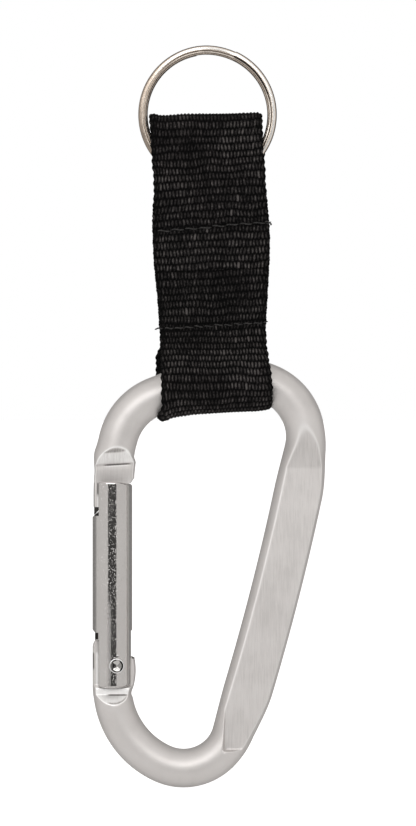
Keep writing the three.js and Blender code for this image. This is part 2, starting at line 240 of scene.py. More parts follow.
def lay_on(obj, values, name):
    """A number for each point of a mesh, for its material."""
    layer = obj.data.attributes.new(name, "FLOAT", "POINT")
    layer.data.foreach_set("value", np.asarray(values, np.float32).ravel())


def value_noise(shape, cells, seed):
    """Smooth random numbers from -1 to 1 on a grid."""
    source = np.random.default_rng(seed).uniform(-1, 1, (cells[0] + 3, cells[1] + 3))
    out = np.zeros(shape)
    rows = np.linspace(0, cells[0], shape[0])
    cols = np.linspace(0, cells[1], shape[1])
    r, c = np.floor(rows).astype(int), np.floor(cols).astype(int)
    fr, fc = rows - r, cols - c
    fr, fc = fr * fr * (3 - 2 * fr), fc * fc * (3 - 2 * fc)
    top = source[r][:, c] * (1 - fc) + source[r][:, c + 1] * fc
    low = source[r + 1][:, c] * (1 - fc) + source[r + 1][:, c + 1] * fc
    out[:] = top * (1 - fr)[:, None] + low * fr[:, None]
    return out


# ---- Materials ----


class Nodes:
    """A material's node tree, built by name."""

    def __init__(self, name):
        self.material = bpy.data.materials.new(name)
        self.material.use_nodes = True
        self.tree = self.material.node_tree
        self.shader = self.tree.nodes["Principled BSDF"]

    def add(self, kind, **inputs):
        node = self.tree.nodes.new(kind)
        for key, value in inputs.items():
            setattr(node, key, value)
        return node

    def link(self, source, target):
        self.tree.links.new(source, target)

    def place(self, scale):
        """Object coordinates, scaled along each axis, per metre."""
        where = self.add("ShaderNodeTexCoord")
        mapping = self.add("ShaderNodeMapping")
        mapping.inputs["Scale"].default_value = scale
        self.link(where.outputs["Object"], mapping.inputs["Vector"])
        return mapping.outputs["Vector"]

    def noise(self, scale, detail=3, roughness=0.55):
        node = self.add("ShaderNodeTexNoise")
        node.inputs["Scale"].default_value = 1
        node.inputs["Detail"].default_value = detail
        node.inputs["Roughness"].default_value = roughness
        self.link(self.place(scale), node.inputs["Vector"])
        return node.outputs["Fac"]

    def attribute(self, name):
        return self.add("ShaderNodeAttribute", attribute_name=name).outputs["Fac"]

    def span(self, value, low, high, to_low, to_high):
        node = self.add("ShaderNodeMapRange")
        for key, number in (("From Min", low), ("From Max", high), ("To Min", to_low), ("To Max", to_high)):
            node.inputs[key].default_value = number
        self.link(value, node.inputs["Value"])
        return node.outputs["Result"]

    def sum(self, a, b, operation="ADD"):
        node = self.add("ShaderNodeMath", operation=operation)
        for socket, value in ((node.inputs[0], a), (node.inputs[1], b)):
            if isinstance(value, (int, float)):
                socket.default_value = value
            else:
                self.link(value, socket)
        return node.outputs[0]

    def ramp(self, value, stops):
        node = self.add("ShaderNodeValToRGB")
        while len(node.color_ramp.elements) < len(stops):
            node.color_ramp.elements.new(0.5)
        for element, (at, colour) in zip(node.color_ramp.elements, stops):
            element.position = at
            element.color = (*colour, 1)
        self.link(value, node.inputs["Fac"])
        return node.outputs["Color"]

    def bump(self, height, strength, distance, after=None):
        node = self.add("ShaderNodeBump")
        node.inputs["Strength"].default_value = strength
        node.inputs["Distance"].default_value = distance
        self.link(height, node.inputs["Height"])
        if after is not None:
            self.link(after, node.inputs["Normal"])
        return node.outputs["Normal"]

    def finish(self, colour=None, roughness=None, normal=None, **constants):
        for key, socket in ((colour, "Base Color"), (roughness, "Roughness"), (normal, "Normal")):
            if key is not None:
                self.link(key, self.shader.inputs[socket])
        for key, number in constants.items():
            self.shader.inputs[key.replace("_", " ")].default_value = number
        return self.material


def webbing_material():
    m = Nodes("black_webbing")
    tone = m.attribute("tone")
    fibre = m.noise((4600, 4600, 2400), 4, 0.6)
    patch = m.noise((220, 220, 220), 2)
    shade = m.sum(m.sum(tone, m.span(fibre, 0.3, 0.7, -0.34, 0.34)), m.span(patch, 0.3, 0.7, -0.05, 0.05))
    colour = m.ramp(
        shade,
        [
            (0, (0.0004, 0.0004, 0.0004)),
            (0.3, (0.0018, 0.0015, 0.0015)),
            (0.7, (0.02, 0.0178, 0.0172)),
            (1, (0.06, 0.054, 0.052)),
        ],
    )
    rough = m.span(tone, 0, 1, 0.95, 0.6)
    normal = m.bump(fibre, 0.55, 0.00012)
    return m.finish(colour, rough, normal, Specular_IOR_Level=0.08)


def thread_material():
    m = Nodes("black_thread")
    twist = m.noise((3000, 3000, 3000), 3)
    colour = m.ramp(twist, [(0.3, (0.003, 0.003, 0.003)), (0.75, (0.032, 0.029, 0.028))])
    normal = m.bump(twist, 0.5, 0.0001)
    rough = m.span(twist, 0, 1, 0.85, 0.5)
    return m.finish(colour, rough, normal, Specular_IOR_Level=0.3)


def satin_material():
    """Tumbled aluminium: an even satin, with brushed streaks where it was stamped."""
    m = Nodes("satin_aluminium")
    stamped = m.attribute("stamped")
    grain = m.noise((4200, 4200, 4200), 4, 0.6)
    cloud = m.noise((160, 160, 160), 3)
    streak = m.noise((5200, 900, 260), 3, 0.7)
    dent = m.noise((900, 900, 900), 1)
    # This attribute is partly burnish and mostly painted light: painted highlights on rims and facets, painted
    # shade along creases.
    burnish_and_painted_light = m.attribute("burnish_and_painted_light")
    brushed = m.sum(m.span(streak, 0.3, 0.7, -0.12, 0.08), stamped, "MULTIPLY")
    uneven = m.sum(m.span(cloud, 0.3, 0.7, -0.02, 0.02), brushed)
    layered = m.sum(m.span(burnish_and_painted_light, -1.5, 1, 0, 1), uneven)
    colour = m.ramp(
        layered,
        [
            (0, (0.035, 0.033, 0.031)),
            (0.45, (0.3, 0.285, 0.275)),
            (0.6, (0.6, 0.575, 0.56)),
            (1, (0.93, 0.92, 0.91)),
        ],
    )
    smoothed = m.sum(m.span(streak, 0.3, 0.7, -0.1, 0.05), stamped, "MULTIPLY")
    rough = m.sum(m.span(grain, 0.3, 0.7, 0.44, 0.54), smoothed)
    fine = m.bump(grain, 0.12, 0.00003)
    lines = m.bump(m.sum(streak, stamped, "MULTIPLY"), 0.35, 0.00005, fine)
    pits = m.bump(m.span(dent, 0.24, 0.3, 0, 1), 0.15, 0.00006, lines)
    return m.finish(colour, rough, pits, Metallic=0.72, Specular_IOR_Level=0.4)


def polished_material():
    """The gate: drawn and polished, with fine pits and a few scuffs."""
    m = Nodes("polished_aluminium")
    speck = m.noise((5400, 5400, 3400), 2, 0.5)
    scuff = m.noise((6500, 6500, 3200), 3, 0.6)
    cloud = m.noise((120, 120, 60), 2)
    # This attribute paints shade into the gate's slot and notch, and painted highlights along its ramp and
    # above the rivet.
    painted_light = m.attribute("painted_light")
    shade = m.sum(m.span(cloud, 0.3, 0.7, 0.56, 0.6), m.sum(painted_light, 0.4, "MULTIPLY"))
    colour = m.ramp(
        shade,
        [
            (0, (0.02, 0.019, 0.018)),
            (0.18, (0.03, 0.029, 0.028)),
            (0.56, (0.59, 0.57, 0.555)),
            (0.62, (0.64, 0.62, 0.605)),
            (1, (1, 0.99, 0.98)),
        ],
    )
    scuffed = m.attribute("scuffed")
    rough = m.sum(m.span(scuff, 0.35, 0.75, 0.05, 0.13), m.sum(scuffed, 0.22, "MULTIPLY"))
    fine = m.bump(m.span(speck, 0.62, 0.7, 0, 1), 0.45, 0.00004)
    layered = m.bump(m.span(scuff, 0.55, 0.8, 0, 1), 0.3, 0.00001, fine)
    return m.finish(colour, rough, layered, Metallic=1)


def ring_material():
    """Plated steel, coloured by painted light: a painted reflection bright along the front of each turn, tan
    sides, and painted shade at the edges.
    """
    m = Nodes("nickel_steel")
    painted_light = m.attribute("painted_light")
    streak = m.noise((2600, 700, 2600), 3, 0.6)
    cloud = m.noise((300, 300, 300), 2)
    shade = m.sum(painted_light, m.span(cloud, 0.3, 0.7, -0.05, 0.05))
    colour = m.ramp(
        shade,
        [
            (0, (0.03, 0.028, 0.027)),
            (0.3, (0.42, 0.35, 0.29)),
            (0.55, (0.72, 0.63, 0.54)),
            (0.85, (0.95, 0.93, 0.9)),
        ],
    )
    rough = m.span(streak, 0.3, 0.7, 0.26, 0.38)
    return m.finish(colour, rough, m.bump(streak, 0.12, 0.00003), Metallic=1)


def rivet_material():
    m = Nodes("rivet_steel")
    # This attribute is painted light: highlights on the rivet's rim, shade in its groove and on its dimple's
    # facets.
    painted_light = m.attribute("painted_light")
    grain = m.noise((3500, 3500, 3500), 3)
    shade = m.sum(m.span(grain, 0.3, 0.7, 0.47, 0.53), m.sum(painted_light, 0.5, "MULTIPLY"))
    colour = m.ramp(
        shade,
        [(0, (0.012, 0.011, 0.011)), (0.15, (0.03, 0.03, 0.03)), (0.5, (0.66, 0.65, 0.63)), (1, (1, 1, 1))],
    )
    rougher_where_bright = m.sum(m.sum(painted_light, 0, "MAXIMUM"), 0.25, "MULTIPLY")
    rough = m.sum(m.span(grain, 0.3, 0.7, 0.14, 0.26), rougher_where_bright)
    return m.finish(colour, rough, m.bump(grain, 0.2, 0.00003), Metallic=1)


def plain_metal(name, low, high, rough, scale=3000):
    m = Nodes(name)
    grain = m.noise((scale, scale, scale), 3)
    colour = m.ramp(grain, [(0.3, low), (0.7, high)])
    roughness = m.span(grain, 0.3, 0.7, rough - 0.06, rough + 0.08)
    normal = m.bump(grain, 0.15, 0.00003)
    return m.finish(colour, roughness, normal, Metallic=1)


webbing_look = webbing_material()
thread_look = thread_material()
satin_look = satin_material()
polished_look = polished_material()
ring_look = ring_material()
rivet_look = rivet_material()
spring_look = plain_metal("spring_steel", (0.25, 0.24, 0.23), (0.36, 0.35, 0.34), 0.28)
brass_look = plain_metal("plunger_brass", (0.42, 0.28, 0.12), (0.55, 0.38, 0.17), 0.3)


# ---- Split ring ----


def split_ring():
    gone = np.linspace(0, 2 * RING_TURN + RING_CROSSING, 700)
    crossed = smooth(gone, RING_TURN, RING_TURN + RING_CROSSING)
    angle = np.radians(RING_CUT - gone)
    radius = RING_FRONT + (RING_BACK - RING_FRONT) * crossed
    depth = RING_PITCH * (crossed - 0.5)
    around = np.linspace(0, 2 * math.pi, 96, endpoint=False)
    power = 0.86  # below 1 the section is squarer than a circle
    along_r = RING_BAND * np.sign(np.cos(around)) * np.abs(np.cos(around)) ** power
    along_y = RING_WIRE * np.sign(np.sin(around)) * np.abs(np.sin(around)) ** power
    grooves = (1 - 0.22 * bump(np.cos(around), -0.12, 0.07) - 0.18 * bump(np.cos(around), -0.6, 0.06))
    along_y = along_y * grooves
    end = np.minimum(gone, gone[-1] - gone)
    taper = 1 - 0.12 * np.clip(1 - end / 1.5, 0, 1) ** 2  # the cut ends' burrs are rubbed off
    r = radius[:, None] + along_r[None, :] * taper[:, None]
    y = depth[:, None] + along_y[None, :] * taper[:, None]
    points = np.stack(
        [RING_CENTRE[0] + r * np.cos(angle)[:, None], y, RING_CENTRE[1] + r * np.sin(angle)[:, None]], -1
    )
    ring = tube_mesh("ring", points, ring_look, 50)
    # Across the wire from its inner edge (-1) to its outer edge (1)
    across = np.repeat(np.cos(around)[None, :], len(angle), 0)
    left = smooth(-np.cos(angle), 0.35, 0.95)[:, None]
    # Painted light: a bright painted reflection across the front of the wire, painted dark lines at its edges
    # and grooves, and the ring's left side painted duller.
    line = 0.42 - 0.18 * left + (0.5 - 0.12 * left) * bump(across, 0.39 - 0.5 * left, 0.28)
    line = line + 0.3 * bump(across, -0.36, 0.1) - 0.6 * bump(across, 0.96, 0.2) * (1 - left)
    line = line - 0.6 * bump(across, -0.12 - 0.15 * left, 0.07)
    line = line - 0.5 * bump(across, -0.6, 0.06) - 0.3 * bump(across, -1, 0.1)
    # Painted shadow in the gap between the turns, from the cut end on.
    gap_shadow = smooth(RING_GAP - gone, 0, 25)[:, None]
    line = line - 1.1 * gap_shadow * bump(across, -0.2, 0.13)
    lay_on(ring, line, "painted_light")
    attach(ring, "ring")
    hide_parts("split_ring")


# ---- Strap ----


def strap_to_world(x, y, z):
    c, s = math.cos(LEAN), math.sin(LEAN)
    return np.stack([STRAP_AT[0] + x * c - z * s, y, STRAP_AT[1] + x * s + z * c], -1)


def edge_at(rows, height):
    """An edge's distance from the middle, drawn smoothly through its rows."""
    rows = sorted(rows)
    heights = np.array([r[0] for r in rows], float)
    values = np.array([r[1] for r in rows], float)
    dense = np.linspace(heights[0], heights[-1], 400)
    line = np.interp(dense, heights, values)
    width = 15
    padded = np.concatenate([np.full(width, line[0]), line, np.full(width, line[-1])])
    line = np.convolve(padded, np.ones(2 * width + 1) / (2 * width + 1), "valid")
    return np.interp(height, dense, line)


def resample(line, step):
    """Even steps along a line of (y, height) points, with the directions there."""
    line = np.asarray(line, float)
    run = np.concatenate([[0], np.cumsum(np.hypot(*np.diff(line, axis=0).T))])
    count = int(run[-1] / step) + 1
    at = np.linspace(0, run[-1], count)
    even = np.stack([np.interp(at, run, line[:, i]) for i in (0, 1)], -1)
    tangent = np.gradient(even, at, axis=0)
    tangent /= np.linalg.norm(tangent, axis=1)[:, None]
    return even, tangent, at


def upper_line():
    """Up the front, over the ring and down between the other two layers."""
    centre = RING_LOOP_TOP - RING_LOOP_HALF
    line = []
    for z in np.arange(SPLIT, centre, 0.1):
        line.append((-LAYER - (RING_LOOP_HALF - LAYER) * smooth(z, FOLD - 1, RING_LOOP_NECK), z))
    for a in np.linspace(math.pi, 0, 60):
        line.append((RING_LOOP_HALF * math.cos(a), centre + RING_LOOP_HALF * math.sin(a)))
    for z in np.arange(centre, UPPER_END, -0.1)[1:]:
        line.append((RING_LOOP_HALF * smooth(z, FOLD - 1, RING_LOOP_NECK), z))
    return line


def lower_line():
    """Down the front, round the hook's bar and up the back."""
    line = []
    for z in np.arange(SPLIT, HOOK_LOOP_CENTRE, -0.1):
        line.append((-LAYER - (HOOK_LOOP_HALF - LAYER) * smooth(-z, FOLD - 1, -HOOK_LOOP_CENTRE - 0.5), z))
    for a in np.linspace(math.pi, 2 * math.pi, 90):
        line.append((HOOK_LOOP_HALF * math.cos(a), HOOK_LOOP_CENTRE + HOOK_LOOP_DROP * math.sin(a)))
    for z in np.arange(HOOK_LOOP_CENTRE, LOWER_END, 0.1)[1:]:
        line.append((LAYER + (HOOK_LOOP_HALF - LAYER) * smooth(-z, FOLD - 1, -HOOK_LOOP_CENTRE - 0.5), z))
    return line


def weave(across, run, slant, seed):
    """Relief and tone of the webbing: rows of upright grains, each row half a grain from the last."""
    shape = run.shape
    drift = 0.2 * value_noise(shape, (22, 8), seed)
    row = run / ROW + slant + drift
    index = np.floor(row).astype(int)
    b = row - index - 0.5
    wander = 0.3 * value_noise(shape, (26, 9), seed + 1)
    column = (across + 1) / 2 * GRAINS + 0.5 * (index % 2) + wander
    grain = np.floor(column).astype(int)
    a = column - grain - 0.5
    table = np.random.default_rng(seed + 2).uniform(0, 1, (400, GRAINS + 6))
    chance = table[index % 400, np.clip(grain + 2, 0, GRAINS + 5)]
    lean = (table[(index + 57) % 400, np.clip(grain + 2, 0, GRAINS + 5)] - 0.5) * 0.5
    a = np.clip(a + lean * b, -0.5, 0.5)
    dome = (1 - np.abs(2 * a) ** 1.8) ** 0.9 * (1 - np.abs(2 * b) ** 2.2) ** 0.55
    bold = 0.8 + 0.5 * value_noise(shape, (12, 4), seed + 3)
    rib = np.cos(math.pi * b)
    height = dome * (0.8 + 0.3 * chance) * bold * 0.72 + 0.28 * rib
    # Painted light and shade: the tone is lightest on each grain's crown and falls to dark between grains and
    # rows; chance and bold vary it at random.
    tone = dome**1.2 * (0.6 + 0.4 * chance) * (0.45 + 0.62 * bold)
    tone = tone + 0.5 * dome * (chance > 0.992)  # a few shiny threads
    return height, tone


def webbing(name, line, side, slant, shift, rise, seams, seed):
    """A strip of ribbed webbing along a line. The side is 1 if the outside is to the line's left."""
    step = ROW / 9
    even, tangent, run = resample(line, step)
    rows = len(run)
    outward = side * np.stack([-tangent[:, 1], tangent[:, 0]], -1)
    faces_out, edge, faces_in = 200, 7, 60
    u_out = np.linspace(-1, 1, faces_out)
    turn = np.linspace(0, math.pi, edge + 2)[1:-1]
    u_in = np.linspace(1, -1, faces_in)
    # Around the section: the outside, the right edge, the inside and the left edge.
    around_u = np.concatenate([u_out, np.full(edge, 1.0), u_in, np.full(edge, -1.0)])
    proud = np.concatenate([np.zeros(faces_out), np.sin(turn), np.zeros(faces_in), -np.sin(turn)])
    level = np.concatenate([np.ones(faces_out), np.cos(turn), -np.ones(faces_in), -np.cos(turn)])
    u = np.broadcast_to(around_u, (rows, len(around_u)))
    along = np.broadcast_to(run[:, None], u.shape)
    y0, z0 = even[:, 0][:, None], even[:, 1][:, None]
    height, tone = weave(u, along, slant(u, y0, z0), seed)
    outside = np.zeros(len(around_u))
    outside[:faces_out] = 1
    outside[faces_out:faces_out + edge] = (1 + np.cos(turn)) / 2
    outside[-edge:] = (1 + np.cos(turn[::-1])) / 2
    thin = 1 - 0.35 * np.clip((np.abs(u) - 0.93) / 0.07, 0, 1) ** 2
    press = np.zeros_like(u)
    seam_shade = np.zeros_like(u)
    left, right = edge_at(LEFT_EDGE, even[:, 1]), edge_at(RIGHT_EDGE, even[:, 1])
    middle, half = (left + right) / 2, (right - left) / 2
    bite = 0.42 * WEB
    x = middle[:, None] + half[:, None] * u * (1 - 0.3 * bite / 10)
    x = x + proud * bite * 0.45 + shift(u, y0, z0)
    ripple = 0.09 * np.cos(2 * math.pi * (along / ROW))
    ripple = ripple + 0.05 * np.sin(2 * math.pi * along / (2.63 * ROW) + seed)
    x = x + np.sign(u) * ripple * np.clip((np.abs(u) - 0.85) / 0.15, 0, 1)
    for level_at, slope in seams:
        off = z0 - (level_at + slope * x)
        press = press + bump(off, 0, 0.55)
        seam_shade = seam_shade + bump(off, 0, 0.75)
    press = press * (np.abs(y0) < 3)
    lift = level * (WEB / 2) * thin - 0.16 * press * np.sign(level)
    lift = lift + outside * RELIEF * (height - 0.75) * (1 - 0.45 * np.clip(press, 0, 1))
    lift = lift - (1 - outside) * 0.07 * height * np.sign(-level)
    y = y0 + outward[:, 0][:, None] * lift
    z = z0 + outward[:, 1][:, None] * lift + rise(u, y0, z0)
    # Painted shade: the tone is darker on the inside faces, where the layers lie together, and along the
    # pressed seams.
    tone = tone * (0.55 + 0.45 * outside) * (1 - 0.45 * np.clip(seam_shade, 0, 1))
    # The tone drops towards the strap's two edges.
    near_edge = np.clip((np.abs(u) - 0.9) / 0.05, 0, 1)
    tone = tone * (1 - 0.3 * near_edge)
    obj = tube_mesh(name, strap_to_world(x, y, z), webbing_look, 180, flip=side < 0)
    lay_on(obj, tone, "tone")
    return obj


def upper_slant(u, y, z):
    front = (y < 0) * smooth(z, 6, 14)
    return -0.08 * u * front / ROW


def lower_slant(u, y, z):
    near = (y < 0) * (smooth(-z, 9, 15) - smooth(-z, 20, 24.5))
    return -0.55 * u * near / ROW


def upper_shift(u, y, z):
    return 0.25 * (y > 0.5) * smooth(z, 12, 20) * (1 - smooth(z, 22, 28))


def lower_shift(u, y, z):
    """The back layer lies a little to the left, and the fold's left corner is squashed out."""
    back = (y > 0) * smooth(-z, 11.5, 15) * (1 - smooth(-z, 18.5, 22))
    corner = np.clip((-u - 0.9) / 0.1, 0, 1) * bump(z, HOOK_LOOP_CENTRE - HOOK_LOOP_DROP, 1.1)
    return -1.05 * back - 0.85 * corner


def upper_rise(u, y, z):
    near = smooth(z, 22, RING_LOOP_TOP)
    return near * (0.3 * bump(u, -0.97, 0.09) - 0.16 * bump(u, -0.72, 0.22) - 0.25 * u)


def lower_rise(u, y, z):
    near = smooth(-z, 20, 24.5)
    left = np.clip((-u - 0.3) / 0.7, 0, 1) ** 1.5
    right = np.clip((u - 0.7) / 0.3, 0, 1) ** 1.5
    return near * (0.12 * (1 - left) - 0.6 * left + 0.32 * right - 0.4 * bump(u, -0.95, 0.06))


def strap():
    upper = webbing(
        "strap_upper", upper_line(), 1, upper_slant, upper_shift, upper_rise, [UPPER_SEAM, LOWER_SEAM], 11
    )
    lower = webbing(
        "strap_lower", lower_line(), -1, lower_slant, lower_shift, lower_rise, [UPPER_SEAM, LOWER_SEAM], 23
    )
    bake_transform(upper)
    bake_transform(lower)
    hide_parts("strap_ring_loop", "strap_middle")
    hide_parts("strap_hook_loop")


def thread_tube(points, radius, sides=8, taper=0.15):
    """Rings of points round a thread's line, twisted as two plies."""
    points = np.asarray(points, float)
    tangent = np.gradient(points, axis=0)
    tangent /= np.linalg.norm(tangent, axis=1)[:, None]
    up = np.tile(np.array([0.31, -0.87, 0.38]), (len(points), 1))
    first = np.cross(tangent, up)
    first /= np.linalg.norm(first, axis=1)[:, None]
    second = np.cross(tangent, first)
    run = np.concatenate([[0], np.cumsum(np.linalg.norm(np.diff(points, axis=0), axis=1))])
    rings = []
    for i, p in enumerate(points):
        close = min(run[i], run[-1] - run[i])
        r = radius * (taper + (1 - taper) * min(1, close / (2 * radius)))
        ring = []
        for k in range(sides):
            a = 2 * math.pi * k / sides
            ply = 1 + 0.22 * math.cos(2 * (a - 9 * run[i]))
            ring.append(p + r * ply * (math.cos(a) * first[i] + math.sin(a) * second[i]))
        rings.append(ring)
    return np.array(rings)


def join_tubes(name, tubes, material):
    points, faces, offset = [], [], 0
    for rings in tubes:
        rows, cols = rings.shape[:2]
        body = (grid_faces(rows, cols) + offset).tolist()
        body.append([offset + i for i in range(cols)][::-1])
        body.append([offset + (rows - 1) * cols + i for i in range(cols)])
        points.append(rings.reshape(-1, 3))
        faces.extend(f[::-1] for f in body)
        offset += rows * cols
    return mesh_object(name, np.concatenate(points), faces, material, 60)


def seam(name, seam_line, node, stitch, sink, seed):
    """Rows of stitches on the front and back, with a knot and loose tails at the ends."""
    level, slope = seam_line
    source = np.random.default_rng(seed)
    left, right = float(edge_at(LEFT_EDGE, level)) + 0.8, float(edge_at(RIGHT_EDGE, level)) - 0.5
    count = int((right - left) / stitch)
    tubes = []
    for front in (-1, 1):
        face = front * (LAYER + WEB / 2 + (0.02 if front < 0 else 0.0))
        for i in range(count):
            a, b = left + (right - left) * i / count, left + (right - left) * (i + 1) / count
            wander = source.uniform(-0.12, 0.12, 2)
            line = []
            for t in np.linspace(0.02, 0.98, 14):
                x = a + (b - a) * t
                arch = math.sin(math.pi * t) ** 0.4
                drift = wander[0] + (wander[1] - wander[0]) * t
                z = level + slope * x + drift + 0.1 * math.sin(2 * math.pi * t)
                line.append((x, face + front * (0.2 * arch - sink), z))
            tubes.append(thread_tube(line, 0.15))
    for start, steps in seam_tails(left, right, level, slope, name):
        tubes.append(thread_tube(curl(start, steps), 0.13))
    world = [strap_to_world(t[..., 0], t[..., 1], t[..., 2]) for t in tubes]
    obj = join_tubes(name, world, thread_look)
    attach(obj, "strap_mid")
    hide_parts(node)


def seam_tails(left, right, level, slope, name):
    """Loose ends, each as a start and its steps: a knot at the upper seam, wisps at the lower one."""
    face = -(LAYER + WEB / 2)
    at_right = level + slope * right
    at_left = level + slope * left
    if name == "upper_seam":
        knot = [(0.5, -0.3, 0.15), (0.45, -0.1, -0.3), (0.35, 0.15, -0.35), (-0.3, 0.2, -0.1)]
        yield (right - 0.3, face + 0.1, at_right), knot
        tail = [(0.45, -0.2, -0.2), (0.3, 0.1, 0.25), (0.35, 0.1, 0.1)]
        yield (right - 0.1, face + 0.1, at_right - 0.15), tail
    else:
        wisp = [(-0.5, -0.15, 0.12), (-0.45, 0, 0.05), (-0.4, 0.1, -0.18), (-0.25, 0, -0.1)]
        yield (left - 0.2, face + 0.1, at_left), wisp
        yield (right + 0.1, face + 0.1, at_right), [(0.35, -0.1, 0.05), (0.3, 0, 0.1), (0.25, 0, -0.05)]


def curl(start, steps):
    """A soft line through a start and the steps after it."""
    knots = np.cumsum(np.array([start, *steps], float), axis=0)
    t = np.linspace(0, len(knots) - 1, 8 * len(knots))
    line = np.stack([np.interp(t, np.arange(len(knots)), knots[:, i]) for i in range(3)], -1)
    for _ in range(12):
        line[1:-1] = (line[:-2] + 2 * line[1:-1] + line[2:]) / 4
    return line


# ---- Hook body ----


def rod_line():
    """Points along the rod with the heading there, ends included."""
    line = []
    x, z, heading = ROD_START[0], ROD_START[1] - NOSE_BELOW, 90.0
    pieces = [(NOSE_BELOW, 0.0), *ROD_BENDS, (PIVOT_ABOVE, 0.0)]
    for number, (length, turn) in enumerate(pieces):
        is_fine = number < 3 or number > len(pieces) - 3
        count = math.ceil(length / (FINE_STEP if is_fine else ROD_STEP))
        for _ in range(count):
            line.append((x, z, heading))
            chord = math.radians(heading - turn / count / 2)
            x += math.cos(chord) * length / count
            z += math.sin(chord) * length / count
            heading -= turn / count
    line.append((x, z, heading))
    return line


def spine_share(x, z):
    if x < SPINE_SIDE:
        return 0.0
    return float(smooth(SPINE_TOP - z, 0, SPINE_EASE) * smooth(z - SPINE_BOTTOM, 0, SPINE_EASE))


def nose_rise(x, z):
    """Height above the nose's crease, which runs slightly up to the right."""
    return z - NOSE_TILT * (x - GATE_AXIS) - NOSE_CREASE


def stamp_limit(x, z):
    """Half the thickness that stamping leaves at each place of the hook's plane."""
    up = nose_rise(x, z)
    nose = NOSE_FLAT + NOSE_SLOPE * np.clip(up, 0, None) - (NOSE_FLAT - BLADE) * smooth(-up, 0.6, 3.2)
    nose = nose - NOSE_SIDE * np.clip(x - GATE_AXIS - 1.2, 0, 2.6) ** 2 * smooth(up, 0, 1.2)
    down = PIVOT_CREASE - z
    pivot = PIVOT_FLAT + PIVOT_SLOPE * np.clip(down, 0, None)
    pivot = pivot - (PIVOT_FLAT - BLADE) * smooth(-down, 1.15, 1.85)
    at_end = x < STAMP_SIDE
    spine = SPINE_HALF + PRESS_RISE * np.clip(z - PRESS_TOP, 0, None)
    spine = spine + 2.5 * np.clip(PRESS_BOTTOM - z, 0, None) + 2.5 * np.clip(PRESS_LEFT - x, 0, None)
    spine = np.where(x > SPINE_SIDE, spine, 2 * ROD)
    return np.where(at_end & (z > -98), nose, np.where(at_end, pivot, spine))


def stamping_and_painted_light(x, z, high, limit, is_end):
    """Where stamping has left brushed metal, and a value that is partly burnish and mostly painted light: above
    0 painted highlights on rims and facets, below 0 painted shade along creases and beside the gate.
    """
    cut = smooth(high - limit, -0.02, 0.06)
    # A painted highlight along the rim where a stamped flat meets the round rod.
    near_rim = bump(high - limit, 0.0, 0.13) * (limit < 1.9 * ROD)
    if not is_end:
        return 0.3 * cut, 0.35 * near_rim
    up, down = nose_rise(x, z), PIVOT_CREASE - z
    if z.mean() > -98:
        facet = smooth(up, 0.1, 0.5) * cut
        across = smooth(x, GATE_AXIS - 1.8, GATE_AXIS - 0.6)
        across = across * (1 - smooth(x, GATE_AXIS + 2.6, GATE_AXIS + 3.6))
        shade = 0.9 * smooth(limit, 2.85, 3.05)
        # Painted light at the nose: brighter facets, painted highlights at the rims and along the gate's flat
        # edge, and painted shade along the crease and beside the gate's top.
        burnish_and_painted_light = (0.7 - shade) * facet + 0.9 * near_rim + 0.6 * bump(up, -0.22, 0.12) * across
        burnish_and_painted_light = burnish_and_painted_light - 1.5 * bump(up, 0.02, 0.11) * across
        strip = smooth(-z, 78.9, 79.4)
        burnish_and_painted_light = burnish_and_painted_light - 1.3 * bump(x, -21.0, 0.12) * strip
        edge = smooth(-z, 81.4, 82) - 1.2 * strip * (1 - smooth(-z, 80.8, 81.6))
        burnish_and_painted_light = burnish_and_painted_light + bump(x, -20.28, 0.13) * edge
    else:
        facet = smooth(down, 0.05, 0.25) * cut
        across = smooth(x, GATE_AXIS - 1.2, GATE_AXIS - 0.2)
        across = across * (1 - smooth(x, GATE_AXIS + 2.2, GATE_AXIS + 3.2))
        # Painted light at the pivot: brighter facets and painted highlights beside and under the gate, and
        # painted shade along the crease and in lines beside the gate.
        burnish_and_painted_light = facet - 1.3 * facet * bump(high - limit, 0.28, 0.14) * across + 0.1 * near_rim
        burnish_and_painted_light = burnish_and_painted_light + 0.8 * (1 - facet) * cut * smooth(-z, 116.6, 117.2) - 2.9 * bump(down, 0, 0.1) * across
        burnish_and_painted_light = burnish_and_painted_light + 0.9 * bump(x, -20.46, 0.17) * smooth(-z, 110.2, 110.8) * (1 - smooth(-z, 117.8, 118.6))
        burnish_and_painted_light = burnish_and_painted_light - bump(x, -21.15, 0.16) * smooth(-z, 110.4, 110.8) * (1 - smooth(-z, 113.2, 113.8))
        burnish_and_painted_light = burnish_and_painted_light - 1.3 * (x > -14) * smooth(z, -111.75, -111.45)
    return cut * (0.35 + 0.65 * facet), burnish_and_painted_light


def end_reach(z, is_nose):
    """How far the stamped ends reach to the outside and the inside of the rod's line."""
    if is_nose:
        outer = ROD + 0.32 * float(bump(z, -74.3, 1.5)) - 0.14 * float(smooth(-z, 75.8, 77.5))
        inner = ROD - 0.08 * float(smooth(-z, 70.5, 73)) + 0.46 * float(smooth(-z, 73.6, 74.9))
        if z <= -77.9:
            inner = 4.02 - 0.62 * min(1, (-77.9 - z) / 1.15)
        if z < -79.1:
            inner = 2.3
        return outer, inner
    bulge = 4.32 - 0.045 * (z + 113.8) ** 2
    inner = 2.3
    if z < -111.15:
        inner = ROD + (bulge - ROD) * float(smooth(z, -119.6, -117.6))
    if -111.45 < z < -111.15:
        inner = bulge - 2 * (z + 111.45)
    outer = ROD + 0.09 * float(smooth(z, -119.5, -117)) - 0.55 * max(0.0, (z + 109.6) / 1.5) ** 2
    return outer, inner


